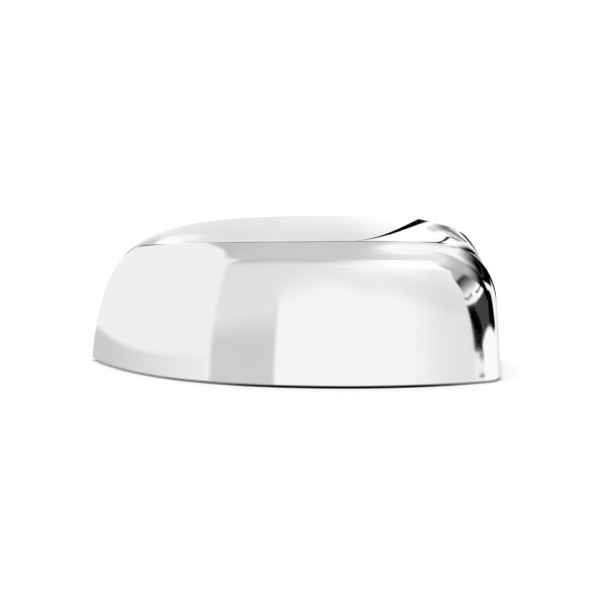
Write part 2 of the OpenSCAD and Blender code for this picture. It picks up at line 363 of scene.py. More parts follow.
def top_surface(i, v, outboard):
    """Top at stations i and shares v of the way from the crease to the rear rim.

    Each line runs from its crease point to its rear point. It bends more the nearer it is to the step,
    whose own line leaves the crease along it: x goes with a power of v that falls to STEP_BEND. The
    outboard half starts lower and further out by the step's bevel, which opens along the step.
    """
    start = soften(crease, i)[:, None]
    if outboard:
        end = soften(rear_outboard, i, SWEEP_END, SIDE_END)[:, None]
        near = 1 - within(i, SWEEP_END, SIDE_END)[:, None]
        wide = near * STEP_WIDTH
    else:
        end = soften(rear_inboard, i, 0.0, SWEEP_END)[:, None]
        near = within(i, 0, SWEEP_END)[:, None]
        wide = 0.0
    x0, y0, z0 = start[..., 0], start[..., 1], start[..., 2]
    crown = TOP_CROWN * 4 * v * (1 - v) * within(DEPTH - y0, 0, CREASE_RUN)
    x = x0 + (end[..., 0] - wide - x0) * v ** mix(1, STEP_BEND, near**3) + wide * v**STEP_OPENING
    y = mix(y0, DEPTH, v) + 0 * x
    fold = shoulder_fold(x, y) if outboard else 0.0
    return np.stack([x, y, mix(z0, end[..., 1], v) + crown + fold], -1)


def ease_sum(t):
    """Area under an easing from 0 to share t: t cubed less half of t to the fourth."""
    t = np.clip(t, 0, 1)
    return t**3 - t**4 / 2


def step_bevel(upper, upper_slope, lower, lower_slope, w):
    """The step's bevel between its upper and lower lines, at shares w across it.

    The slope eases from the top's into the bevel's own and, near the lower line, into the shoulder's.
    The height is that slope summed up from the upper line.
    """
    width, drop = (lower - upper)[..., 0], (lower - upper)[..., 2]
    near, far = upper_slope * width, lower_slope * width
    own = (drop - (near + far) * STEP_ROUNDING / 2) / (1 - STEP_ROUNDING)
    first = STEP_ROUNDING * ease_sum(w / STEP_ROUNDING) + np.maximum(w - STEP_ROUNDING, 0)
    last = STEP_ROUNDING * ease_sum((w - 1 + STEP_ROUNDING) / STEP_ROUNDING)
    fall = near * w + (own - near) * first + (far - own) * last
    points = mix(upper, lower, w[..., None])
    points[..., 2] = upper[..., 2] + fall
    return points


# The skin, the lining and the rounded rim between them

FRONT_ROWS = 60
CREASE_ROWS = 6
TOP_ROWS = 40
TOP_CROWDING = 1.5
PER_STATION = 4
INBOARD_STATIONS = np.linspace(0, SWEEP_END, int(SWEEP_END) * PER_STATION + 1)
OUTBOARD_STATIONS = np.linspace(SWEEP_END, SIDE_END, int(SIDE_END - SWEEP_END) * PER_STATION + 1)
BEVEL_SHARES = np.linspace(0, 1, 11)[1:-1]
FIRST_STATION = 0.115
LAST_STATION = SIDE_END - 0.09


def rounded(a, corner, b, count):
    """Points of a rounding from a to b: the squared-share curve that leaves and arrives on the corner."""
    t = np.linspace(0, 1, count + 1).reshape((-1,) + (1,) * a.ndim)
    return (1 - t) ** 2 * a + 2 * t * (1 - t) * corner + t * t * b


def front_heights(i):
    """Rows of the front wall at each station, from just over the rim to just under the crease."""
    _, _, low, mid, high, flat_radius, roll_radius = front_arcs(i)
    first = ROLL_AT * (RIM_ROUNDING / flat_radius) / (mid - low)
    last = 1 - (1 - ROLL_AT) * (CREASE_ROUNDING / roll_radius) / (high - mid)
    return mix(first[:, None], last[:, None], np.linspace(0, 1, FRONT_ROWS + 1))


def top_shares(i):
    """Rows of the top at each station, from just past the crease to just short of the rear rim."""
    run = DEPTH - soften(crease, i)[:, 1]
    first = np.minimum(CREASE_ROUNDING / run, LARGEST_ROUNDING)
    last = 1 - np.minimum(RIM_ROUNDING / run, LARGEST_ROUNDING)
    return mix(first[:, None], last[:, None], np.linspace(0, 1, TOP_ROWS + 1) ** TOP_CROWDING)


def top_points():
    """The top, column by column: inboard of the step, the step's bevel, outboard of the step."""
    inboard_i = np.clip(INBOARD_STATIONS, FIRST_STATION, None)
    outboard_i = np.clip(OUTBOARD_STATIONS, None, LAST_STATION)

    def columns(shares):
        """The three stretches one after another, with rows at these shares."""
        inboard = top_surface(inboard_i, shares(inboard_i), False)
        outboard = top_surface(outboard_i, shares(outboard_i), True)
        upper, lower = inboard[-1], outboard[0]
        steps = (inboard[-1] - inboard[-2], outboard[1] - outboard[0])
        slope_in, slope_out = (step[:, 2] / step[:, 0] for step in steps)
        bevel = step_bevel(upper, slope_in, lower, slope_out, BEVEL_SHARES[:, None] + 0 * slope_in)
        return np.concatenate([inboard, bevel, outboard])

    stations = np.concatenate([inboard_i, np.full(len(BEVEL_SHARES), SWEEP_END), outboard_i])
    return stations, columns(top_shares), columns(lambda i: np.ones((len(i), 1)))[:, 0]


def skin_and_edge():
    """The skin as a grid of stations by rows, and for each side of it the sharp edge that it rounds.

    Rows go up the front wall, round the crease and back over the top.
    """
    stations, top, rear_edge = top_points()
    heights = front_heights(stations)
    front = front_wall(stations, heights)
    corner = soften(crease, stations)
    fillet = np.moveaxis(rounded(front[:, -1], corner, top[:, 0], CREASE_ROWS), 0, 1)
    skin = np.concatenate([front, fillet[:, 1:-1], top], 1)
    bottom_edge = front_wall(stations, np.zeros((len(stations), 1)))[:, 0]
    sides = []
    for end, column in ((0.0, 0), (SIDE_END, -1)):
        wall_edge = front_wall(np.array([end]), heights[column][None])[0]
        tip = np.repeat(crease(np.array([end])), skin.shape[1] - len(wall_edge), 0)
        sides.append(np.concatenate([wall_edge, tip]))
    return skin, bottom_edge, rear_edge, sides[0], sides[1]


def grid_faces(grid, closed=False):
    """Quads of a grid whose points are numbered column by column, as rows of four indices."""
    index = np.arange(grid[..., 0].size).reshape(grid.shape[:2])
    if closed:
        index = np.concatenate([index, index[:1]])
    a, b, c, d = index[:-1, :-1], index[1:, :-1], index[1:, 1:], index[:-1, 1:]
    return np.stack([a, b, c, d], -1).reshape(-1, 4)


def weld(points, faces):
    """Points with those that coincide merged, the faces on them, and what each old point became."""
    keys = np.round(points / 1e-7).astype(np.int64)
    _, kept, index = np.unique(keys, axis=0, return_index=True, return_inverse=True)
    index = index.reshape(-1)
    return points[kept], index[faces], index


def point_normals(points, faces):
    """Each point's normal: the sum of its faces' cross products, so that large faces count more."""
    a, b, c, d = (points[faces[:, k]] for k in range(4))
    area = np.cross(c - a, d - b)
    total = np.zeros_like(points)
    for k in range(4):
        np.add.at(total, faces[:, k], area)
    return unit(total)


REAR_BAND = 3 * WALL
LEAST_SLOPE = 0.2
ON_FLOOR = 1e-9


def inward(p, n, amount):
    """A point moved inwards along its normal. Near the rear rim it stays in the rim's plane."""
    free = ramp(DEPTH, p[..., 1], REAR_BAND)
    level = n[..., 1] ** 2
    stretch = 1 + level * (1 - free) / np.maximum(LEAST_SLOPE, 1 - level)
    moved = p - amount * n * np.stack([stretch, free, stretch], -1)
    moved[..., 2] = np.where(p[..., 2] <= ON_FLOOR, 0.0, moved[..., 2])
    return moved


def border(bottom, rear, inboard, outboard):
    """Loop of points round the skin: up the inboard end, along the rear, down, and back along the bottom."""
    return np.concatenate([inboard, rear[1:], outboard[-2::-1], bottom[-2:0:-1]])


def grid_normals(grid):
    """Normal at each point of an open grid, with points that coincide taken as one."""
    points, faces, index = weld(grid.reshape(-1, 3), grid_faces(grid))
    return point_normals(points, faces)[index].reshape(grid.shape)


RIM_ARC = 4
BRIGHT, SATIN = 0, 1


def shell_parts():
    """Skin, lining and rounded rim as (points, faces, finish) each, and the lining's grid."""
    skin, bottom, rear, inboard, outboard = skin_and_edge()
    normals = grid_normals(skin)
    lining = inward(skin, normals, WALL)
    inner_start, outer_start, facing = (
        border(grid[:, 0], grid[:, -1], grid[0], grid[-1]) for grid in (lining, skin, normals)
    )
    outer_edge = border(bottom, rear, inboard, outboard)
    inner_edge = inward(outer_edge, facing, WALL)
    across = RIM_ROUNDING * unit(inner_edge - outer_edge)
    outer_arc = rounded(outer_start, outer_edge, outer_edge + across, RIM_ARC)
    inner_arc = rounded(inner_edge - across, inner_edge, inner_start, RIM_ARC)
    plated = np.moveaxis(np.concatenate([outer_arc, inner_arc[:1]]), 0, 1)
    bare = np.moveaxis(inner_arc, 0, 1)
    return lining, [
        (skin.reshape(-1, 3), grid_faces(skin), BRIGHT),
        (lining.reshape(-1, 3), grid_faces(lining)[:, ::-1], SATIN),
        (plated.reshape(-1, 3), grid_faces(plated, closed=True)[:, ::-1], BRIGHT),
        (bare.reshape(-1, 3), grid_faces(bare, closed=True)[:, ::-1], SATIN),
    ]


# Stiffening ribs

def wall_line(grid, x):
    """Where the plane at x cuts each row of a grid: y and z, row by row."""
    rows = np.moveaxis(grid, 1, 0)
    return np.array([
        [np.interp(x, np.maximum.accumulate(row[:, 0]), row[:, k]) for k in (1, 2)] for row in rows
    ])


def rib_section():
    """Half-round top, upright sides and flared foot of a rib, as widths and heights from foot to foot."""
    half, flare, top = RIB_THICKNESS / 2, RIB_FLARE, RIB_ROUNDING
    quarter = np.linspace(0, np.pi / 2, 5)
    foot = np.stack([-(half + flare) + flare * np.sin(quarter), flare * (1 - np.cos(quarter))], -1)
    crown_height = RIB_HEIGHT - top * (1 - np.sin(quarter))
    crown = np.stack([-half * RIB_TAPER + top * (1 - np.cos(quarter)), crown_height], -1)
    left = np.concatenate([[[-(half + flare), -RIB_SINK]], foot, crown])
    return np.concatenate([left, left[::-1] * [-1, 1]])


def rib(lining, x):
    """A rib along the wall in the plane at x. Its height eases down to nothing at both ends."""
    line = wall_line(lining, x)
    aside = 0.001
    slope = (wall_line(lining, x + aside) - wall_line(lining, x - aside)) / (2 * aside)
    run = np.concatenate([[0], np.cumsum(np.linalg.norm(np.diff(line, axis=0), axis=1))])
    corners = soften(crease, np.arange(SIDE_END + 1))
    crease_y = corners[np.searchsorted(corners[:, 0], x) - 1, 1]
    first = np.interp(RIB_START, np.maximum.accumulate(line[:, 1]), run)
    last = np.interp(crease_y + RIB_REACH, line[:, 0], run)
    place = np.linspace(first, last, RIB_ROWS)
    path, lean = (
        np.stack([np.interp(place, run, pair[:, k]) for k in (0, 1)], -1) for pair in (line, slope)
    )
    along = unit(np.gradient(path, axis=0))
    into = np.stack([along[:, 1], -along[:, 0]], -1)
    size = ramp(place, first, RIB_RAMP) * ramp(last, place, RIB_RAMP)
    width, height = rib_section().T
    raised = height[:, None] * size - RIB_SINK * (1 - size)
    level = np.clip(raised / RIB_HEIGHT, 0, 1)
    sideways = width[:, None] * (1 - level)
    yz = path + raised[..., None] * into + sideways[..., None] * lean
    points = np.concatenate([x + width[:, None, None] + 0 * yz[..., :1], yz], -1)
    return closed_tube(points)


def closed_tube(points):
    """Points of a tube, section points by path points, with both ends drawn together to a point."""
    start, end = points[:, :1].mean(0, keepdims=True), points[:, -1:].mean(0, keepdims=True)
    points = np.concatenate([start + 0 * points[:, :1], points, end + 0 * points[:, -1:]], 1)
    return points.reshape(-1, 3), grid_faces(points, closed=True), SATIN


# Snap clips

def clip_rows():
    """Rows along a clip: place (y, z), direction of its thickness (y, z), inner and outer distance, width.

    The post stands on the wall, turns a quarter round, and becomes the tongue with the hook at its tip.
    """
    turn_y = -CLIP_LENGTH + 2 * CLIP_THICKNESS + TURN_RADIUS
    turn_z = CLIP_GAP - TURN_RADIUS
    inner, outer = TURN_RADIUS, TURN_RADIUS + CLIP_THICKNESS
    post_z = np.array([-CLIP_SINK, -0.0003, 0.0, 0.00012, 0.0004, FLARE_HEIGHT, 0.0016, turn_z * 0.85])
    flare = CLIP_FLARE * np.clip(1 - np.maximum(post_z, 0) / FLARE_HEIGHT, 0, 1) ** 2
    post = [
        (turn_y, z, -1.0, 0.0, inner - f, outer + POST_EXTRA + f, CLIP_WIDTH + 2 * f)
        for z, f in zip(post_z, flare)
    ]
    angles = np.linspace(math.pi, math.pi / 2, 9)
    thicker = POST_EXTRA * ease((angles - math.pi / 2) / (math.pi / 2))
    turn = [
        (turn_y, turn_z, math.cos(a), math.sin(a), inner, outer + more, CLIP_WIDTH)
        for a, more in zip(angles, thicker)
    ]
    # The hook's upright face, with a small fillet at its foot and a small bevel at its top
    face, gap, fillet, below, bevel = -HOOK_LENGTH, 0.0004, 0.00015, 0.0003, 0.0001
    stretch = [(y, 0.0) for y in np.linspace(turn_y + gap, face - gap, 6)]
    rise = [(face - fillet, 0.0), (face, fillet)]
    rise += [(face, HOOK_HEIGHT - below), (face + bevel, HOOK_HEIGHT - bevel)]
    rise += [(y, HOOK_HEIGHT * -y / HOOK_LENGTH) for y in np.linspace(face + gap, -gap / 2, 6)]
    tongue = [
        (y, turn_z, 0.0, 1.0, inner, outer + h, CLIP_WIDTH * mix(1, TONGUE_TAPER, (y - turn_y) / -turn_y))
        for y, h in stretch + rise
    ]
    tip_width = CLIP_WIDTH * TONGUE_TAPER - 2 * TIP_ROUNDING
    tip = [(0.0, turn_z, 0.0, 1.0, inner + TIP_ROUNDING, outer - TIP_ROUNDING, tip_width)]
    return np.array(post + turn + tongue + tip)


def clip(edge, normals, x, towards):
    """A clip at the edge's last point before x, set back from the edge, with its tip towards it."""
    index = np.searchsorted(edge[:, 0], x) - 1
    off_wall = unit(-normals[index] + (normals[index] @ towards) * towards)
    base = edge[index] - CLIP_INSET * towards + WALL * off_wall
    y, z, side_y, side_z, low, high, width = (v[None, :] for v in clip_rows().T)
    corner = np.array([[1, -1], [1, 1], [-1, 1], [-1, -1]]).repeat(4, 0)
    angle = np.radians(np.add.outer([-90, 0, 90, 180], [0, 30, 60, 90]).ravel())
    soft = np.minimum(CLIP_ROUNDING, (high - low) * 0.4)
    out = corner[:, :1] * (width / 2 - soft) + soft * np.cos(angle)[:, None]
    thick = (high + low) / 2 + corner[:, 1:] * ((high - low) / 2 - soft) + soft * np.sin(angle)[:, None]
    local_y = y + side_y * thick
    local_z = z + side_z * thick
    across = np.cross(towards, off_wall)
    points = base + out[..., None] * across + local_y[..., None] * towards + local_z[..., None] * off_wall
    return closed_tube(points)


def clips():
    """Clips along the rear rim and along the bottom rim, each at a whole station."""
    skin, bottom, rear, _, _ = skin_and_edge()
    normals = grid_normals(skin)
    past_step = len(INBOARD_STATIONS) + len(BEVEL_SHARES)
    whole = np.r_[0 : len(INBOARD_STATIONS) : PER_STATION, past_step : len(skin) : PER_STATION]
    back, down = np.array([0.0, 1.0, 0.0]), np.array([0.0, 0.0, -1.0])
    along_rear = [clip(rear[whole], normals[whole, -1], x, back) for x in CLIP_PLACES]
    along_bottom = [clip(bottom[whole], normals[whole, 0], x, down) for x in CLIP_PLACES]
    return along_rear + along_bottom


# Blender

def into_scene(name, data):
    """An object that holds the data, put into the scene."""
    thing = bpy.data.objects.new(name, data)
    bpy.context.scene.collection.objects.link(thing)
    return thing


def fill_mesh(name, points, corners, starts):
    """A mesh from points, the row of its faces' corners, and where in that row each face starts."""
    mesh = bpy.data.meshes.new(name)
    mesh.vertices.add(len(points))
    mesh.vertices.foreach_set("co", points.astype(np.float32).ravel())
    mesh.loops.add(len(corners))
    mesh.loops.foreach_set("vertex_index", corners.astype(np.int32))
    mesh.polygons.add(len(starts))
    mesh.polygons.foreach_set("loop_start", starts.astype(np.int32))
    mesh.update(calc_edges=True)
    return mesh


def make_mesh(name, parts):
    """Joins parts into one mesh with exact smooth normals and a finish for each face.

    A quad with two corners at one point becomes a triangle, and one that is flatter still is left out.
    """
    counts = np.cumsum([0] + [len(points) for points, _, _ in parts])
    points = np.concatenate([points for points, _, _ in parts])
    faces = np.concatenate([faces + first for (_, faces, _), first in zip(parts, counts)])
    finish = np.concatenate([np.full(len(faces), kind) for _, faces, kind in parts])
    points, faces, _ = weld(points - [0, DEPTH / 2, 0], faces)
    same = faces == np.roll(faces, -1, 1)
    quads, thirds = same.sum(1) == 0, same.sum(1) == 1
    quads &= (faces[:, 0] != faces[:, 2]) & (faces[:, 1] != faces[:, 3])
    corners = np.concatenate([faces[quads].ravel(), faces[thirds][~same[thirds]]])
    starts = np.concatenate([4 * np.arange(quads.sum()), 4 * quads.sum() + 3 * np.arange(thirds.sum())])
    mesh = fill_mesh(name, points, corners, starts)
    finishes = np.concatenate([finish[quads], finish[thirds]])
    mesh.polygons.foreach_set("material_index", finishes.astype(np.int32))
    mesh.shade_smooth()
    mesh.normals_split_custom_set_from_vertices(point_normals(points, faces))
    return into_scene(name, mesh)


def keep_on_points(mesh, name, values):
    """Stores a number for each point of the mesh, which a material reads by its name."""
    attribute = mesh.attributes.new(name, "FLOAT", "POINT")
    attribute.data.foreach_set("value", values.astype(np.float32).ravel())


def new_material(name):
    """A material with nothing in it yet, and its node tree."""
    material = bpy.data.materials.new(name)
    material.use_nodes = True
    material.node_tree.nodes.clear()
    return material, material.node_tree


def feed(tree, socket, term):
    """Gives an input its term: another node's output as a link, anything else as its value."""
    if isinstance(term, bpy.types.NodeSocket):
        tree.links.new(term, socket)
    else:
        socket.default_value = term


def add(tree, kind, **settings):
    """A node with its settings: the name of an input feeds that input, any other name is a property.

    Python's names have no spaces, so Base_Color is the input Base Color.
    """
    node = tree.nodes.new(kind)
    for name, value in settings.items():
        label = name.replace("_", " ")
        if label in node.inputs:
            feed(tree, node.inputs[label], value)
        else:
            setattr(node, name, value)
    return node


def reckon(tree, operation, *terms):
    """Result of a math node on its terms, each a number or another node's output."""
    node = add(tree, "ShaderNodeMath", operation=operation)
    for socket, term in zip(node.inputs, terms):
        feed(tree, socket, term)
    return node.outputs[0]


def eased_share(tree, value, low, high):
    """0 where the value is up to low and 1 from high, eased between."""
    node = add(tree, "ShaderNodeMapRange", interpolation_type="SMOOTHSTEP")
    for socket, term in zip(node.inputs, (value, low, high)):
        feed(tree, socket, term)
    return node.outputs["Result"]


def new_group(name, numbers, results):
    """A node group with number inputs, each with its usual value, and number outputs."""
    tree = bpy.data.node_groups.new(name, "ShaderNodeTree")
    for label, value in numbers.items():
        socket = tree.interface.new_socket(name=label, in_out="INPUT", socket_type="NodeSocketFloat")
        socket.default_value = value
    for label in results:
        tree.interface.new_socket(name=label, in_out="OUTPUT", socket_type="NodeSocketFloat")
    return tree, add(tree, "NodeGroupInput"), add(tree, "NodeGroupOutput")


def kept_value(tree, name):
    """The number that keep_on_points stored under this name."""
    return add(tree, "ShaderNodeAttribute", attribute_name=name).outputs["Fac"]


def noise(tree, vector, per_metre, detail):
    """Noise about a half, with so many swells to a metre."""
    return add(tree, "ShaderNodeTexNoise", Vector=vector, Scale=per_metre, Detail=detail).outputs["Fac"]


def mould_waves():
    """Height in millimetres of the slow swells and finer ripple that a moulded wall keeps under plating."""
    numbers = {"Swells": 30.0, "Swell": 0.01, "Ripples": 160.0, "Ripple": 0.001}
    tree, given, result = new_group("mould_waves", numbers, ("Height",))
    place = add(tree, "ShaderNodeTexCoord").outputs["Object"]
    total = 0.0
    for many, high in (("Swells", "Swell"), ("Ripples", "Ripple")):
        level = reckon(tree, "SUBTRACT", noise(tree, place, given.outputs[many], 1.0), 0.5)
        total = reckon(tree, "ADD", reckon(tree, "MULTIPLY", level, given.outputs[high]), total)
    tree.links.new(total, result.inputs["Height"])
    return tree


def handling_marks():
    """Masks of wiped patches and of the hairlines that wiping leaves in them."""
    numbers = {"Patches": 20.0, "Hairlines": 500.0}
    tree, given, result = new_group("handling_marks", numbers, ("Wiped", "Hairline"))
    place = add(tree, "ShaderNodeTexCoord").outputs["Object"]
    wiped = eased_share(tree, noise(tree, place, given.outputs["Patches"], 4.0), 0.42, 0.62)
    # Turned and drawn out along one axis, the noise becomes streaks
    turned = add(tree, "ShaderNodeMapping", Vector=place, Rotation=(0.3, 0.5, 0.35), Scale=(0.012, 1.0, 1.0))
    streaks = noise(tree, turned.outputs[0], given.outputs["Hairlines"], 0.0)
    line = eased_share(tree, streaks, 0.68, 0.76)
    tree.links.new(wiped, result.inputs["Wiped"])
    tree.links.new(reckon(tree, "MULTIPLY", line, wiped), result.inputs["Hairline"])
    return tree


# Places of the mix node's share, colours and result among its sockets
MIX_SHARE, MIX_ONE, MIX_OTHER, MIX_RESULT = 0, 6, 7, 2


def two_tone(tree, share, one, other):
    """A colour that goes from one to the other with the share."""
    node = add(tree, "ShaderNodeMix", data_type="RGBA")
    for place, term in ((MIX_SHARE, share), (MIX_ONE, (*one, 1)), (MIX_OTHER, (*other, 1))):
        feed(tree, node.inputs[place], term)
    return node.outputs[MIX_RESULT]


def finish_plating(tree, colour, roughness, height):
    """Metal shader with this colour and roughness, and bumps from a height in millimetres."""
    bump = add(tree, "ShaderNodeBump", Distance=0.001, Height=height).outputs[0]
    metal = add(tree, "ShaderNodeBsdfPrincipled", Metallic=1, Base_Color=colour, Roughness=roughness)
    feed(tree, metal.inputs["Normal"], bump)
    add(tree, "ShaderNodeOutputMaterial", Surface=metal.outputs[0])


def bright_plating(waves, marks):
    """Mirror-bright outer plating: slow swells from the mould, and wiped patches a shade duller."""
    material, tree = new_material("bright_plating")
    wave = add(tree, "ShaderNodeGroup", node_tree=waves, Swells=28, Swell=0.009, Ripples=170, Ripple=0.0006)
    mark = add(tree, "ShaderNodeGroup", node_tree=marks, Patches=24, Hairlines=650)
    clean_roughness, wiped_more, hairline_more = 0.026, 0.022, 0.02
    colour = two_tone(tree, mark.outputs["Wiped"], (0.888, 0.888, 0.890), (0.872, 0.872, 0.875))
    roughness = reckon(tree, "MULTIPLY_ADD", mark.outputs["Wiped"], wiped_more, clean_roughness)
    roughness = reckon(tree, "MULTIPLY_ADD", mark.outputs["Hairline"], hairline_more, roughness)
    finish_plating(tree, colour, roughness, wave.outputs["Height"])
    return material


def satin_plating(waves, marks):
    """Dull plating of the hidden side, over a finely spark-grained moulding."""
    material, tree = new_material("satin_plating")
    wave = add(tree, "ShaderNodeGroup", node_tree=waves, Swells=45, Swell=0.04, Ripples=400, Ripple=0.006)
    mark = add(tree, "ShaderNodeGroup", node_tree=marks, Patches=35, Hairlines=420)
    place = add(tree, "ShaderNodeTexCoord").outputs["Object"]
    grain = noise(tree, place, 1500, 2)
    plain_roughness, wiped_less, grain_more, grain_height = 0.40, -0.06, 0.12, 0.012
    colour = two_tone(tree, mark.outputs["Wiped"], (0.585, 0.59, 0.60), (0.65, 0.655, 0.665))
    roughness = reckon(tree, "MULTIPLY_ADD", mark.outputs["Wiped"], wiped_less, plain_roughness)
    roughness = reckon(tree, "MULTIPLY_ADD", reckon(tree, "SUBTRACT", grain, 0.5), grain_more, roughness)
    height = reckon(tree, "MULTIPLY_ADD", grain, grain_height, wave.outputs["Height"])
    finish_plating(tree, colour, roughness, height)
    return material


def build_cover():
    """Shell, ribs and clips as one piece: bright outside, satin inside."""
    lining, parts = shell_parts()
    parts += [rib(lining, x) for x in RIB_PLACES]
    parts += clips()
    cover = make_mesh("mirror_cover_shell", parts)
    waves, marks = mould_waves(), handling_marks()
    cover.data.materials.append(bright_plating(waves, marks))
    cover.data.materials.append(satin_plating(waves, marks))
    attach(cover, "root")
    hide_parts("mirror_cover")


# Studio

CENTRE = np.array([0.0, 0.0, 0.042])
SURROUND_RADIUS = 60.0
FLOOR_Z = -0.0012


def soft_step(value, edge, softness):
    """0 below the edge, 1 above it, eased over the softness."""
    return ease(np.clip((value - edge) / softness + 0.5, 0, 1))


def panel(value, low, high, soft_low, soft_high):
    """1 between two edges and 0 outside them, each edge with its own softness."""
    return soft_step(value, low, soft_low) * (1 - soft_step(value, high, soft_high))


# Lower than any direction: the lower edge of a patch that has none
DOWN = -100.0


def lay(light, azimuth, elevation, *patches):
    """The light with patches laid over it: for each its brightness and its edges, as panel takes them."""
    for value, across, upright in patches:
        light = mix(light, value, panel(azimuth, *across) * panel(elevation, *upright))
    return light


def ceiling_light(azimuth, elevation, x, y, z):
    """Grey ceiling with a wide white lamp over the outboard side, and how far it covers a direction.

    Places on it are x / z and y / z, as on a flat sheet overhead. Its inboard edge is a bent line.
    """
    side, depth = x / np.maximum(z, 0.02), y / np.maximum(z, 0.02)
    forward = np.maximum(-depth, 0)
    inside = side - (-0.50 + 0.43 * depth - 0.30 * np.sqrt(depth**2 + 0.06))
    grey = 0.66 - 0.08 * np.exp(-((inside / 0.14) ** 2))
    white = mix(0.90, 1.12, soft_step(elevation, 60, 16))
    white = mix(white, 1.1, panel(azimuth, 38, 112, 20, 20))
    lamp = soft_step(side, 0.075 + 0.15 * forward, 0.09 + 0.45 * forward)
    cover = soft_step(inside, 0.01 + 0.1 * np.minimum(forward, 1), 0.03 + 0.24 * np.minimum(forward, 1))
    return mix(grey, white, lamp), cover * soft_step(z, 0.03, 0.02)


def front_light(azimuth, elevation):
    """Wall behind the camera: white at the outboard side, greyer towards a pillar at azimuth 198 to 222."""
    low = mix(0.87, 1.02, soft_step(azimuth, 155, 16))
    pillar = mix(0.69, 0.84, soft_step(elevation, -1.5, 4.5))
    pillar = mix(pillar, 0.61, within(elevation, 5, 28))
    fade = np.clip((azimuth - 169) / np.maximum(24 - 0.4 * np.maximum(elevation - 15, 0), 8), 0, 1)
    high = mix(1.12, pillar, fade)
    wall = mix(low, high, soft_step(elevation, 2.3, mix(2.0, 4.6, soft_step(azimuth, 184, 8))))
    # Soft grey beam across the wall, lower towards the outboard side
    beam = elevation - np.interp(azimuth, [147, 159, 171, 190], [-0.5, 0.0, 2.0, 4.0])
    beam_light = mix(0.81, 0.93, within(azimuth, 147, 171)) - 0.004 * np.clip(azimuth - 173, 0, 15)
    on_beam = panel(beam, -1.2, 1.2, 1.8, 1.8) * panel(azimuth, 140, 190, 6, 8)
    wall = mix(wall, np.minimum(wall, beam_light), on_beam)
    return mix(wall, pillar, soft_step(azimuth, 197.8, mix(1.2, 12.0, soft_step(elevation, 2, 4))))


def dark_room_light(azimuth, elevation):
    """Unlit room at the outboard side under a bright ceiling, with the few light things that stand in it."""
    above = elevation - (40 - 0.0095 * (azimuth - 70) ** 2)
    rear = soft_step(above, 5, 17)
    front = 0.5 * soft_step(above, 9, 10) + 0.5 * soft_step(above, 32, 34)
    light = 1.05 * mix(rear, front, soft_step(azimuth, 100, 20))
    # Bright things far back
    shelf = np.interp(azimuth, [58, 66, 73.5, 82, 94, 109, 118], [-8.5, -6.8, -4.4, -2.3, -0.1, 1.2, 3.0])
    light = lay(light, azimuth, elevation - shelf, (1.0, (38, 116, 5, 7), (0, 12.5, 0.4, 4)))
    light = lay(light, azimuth, elevation, (0.85, (11, 52, 2, 4), (-13, -8.6, 1, 0.8)))
    # Dull cloth low down, with a black post before it
    cloth = np.interp(azimuth, [112, 120, 127, 133], [-0.2, 0.4, 1.2, 1.9])
    post = np.interp(elevation, [-6, -4.4, -3.9, -3.1, -1.8, -0.5], [140.6, 140.3, 139.7, 138.9, 139.9, 141])
    grey = (0.052, (112, 143, 4, 0.3), (-6, cloth, 1, 0.2))
    black = (0.0, (post, 146, 0.25, 0.3), (-5.7, 0.4, 0.3, 0.3))
    light = lay(light, azimuth, elevation, grey, black)
    # White table edge, its end, and a grey line and a dark line on that
    places = [45, 60, 84, 98, 113, 128, 136, 139, 141]
    table = np.interp(azimuth, places, [-8, -7.2, -5.6, -4.2, -3.2, -2.8, -3.3, -4.3, -6])
    edge = (1.08, (52, 139.5, 6, 0.4), (DOWN, table, 1, 0.5))
    end = (0.98, (139.0, 144, 0.4, 0.3), (DOWN, -5.8, 1, 0.4))
    grey = (0.33, (138.8, 141.4, 0.8, 0.5), (-6.8, -5.9, 0.5, 0.5))
    dark = (0.13, (138.6, 141.6, 0.5, 0.4), (-9.1, -8.6, 0.2, 0.2))
    light = lay(light, azimuth, elevation, edge, end, grey, dark)
    # Light board on the cloth, darker upwards, with a dashed mark across it
    low = np.interp(azimuth, [132.5, 136.6, 139.1, 140.8, 142.5], [2.0, 1.5, 0.9, 0.2, -0.4])
    high = np.interp(azimuth, [132.5, 137.2, 139.0, 140.7, 143.4], [2.0, 2.6, 3.0, 3.0, 1.8])
    rise = np.clip((146.3 - azimuth - 1.86 * elevation) / 3.1, 0, 1)
    dash = np.abs(elevation - np.interp(azimuth, [136.5, 139.7, 140.8, 142.1], [2.5, 1.5, 1.1, 0.3]))
    dashed = (1 - soft_step(dash, 0.13, 0.1)) * (1 - panel(azimuth, 139.75, 140.7, 0.1, 0.1))
    board = mix(1.08 * rise**1.7 + 0.015, 0.03, dashed)
    return lay(light, azimuth, elevation, (board, (132.5, 145, 0.2, 0.3), (low, high, 0.15, 0.15)))


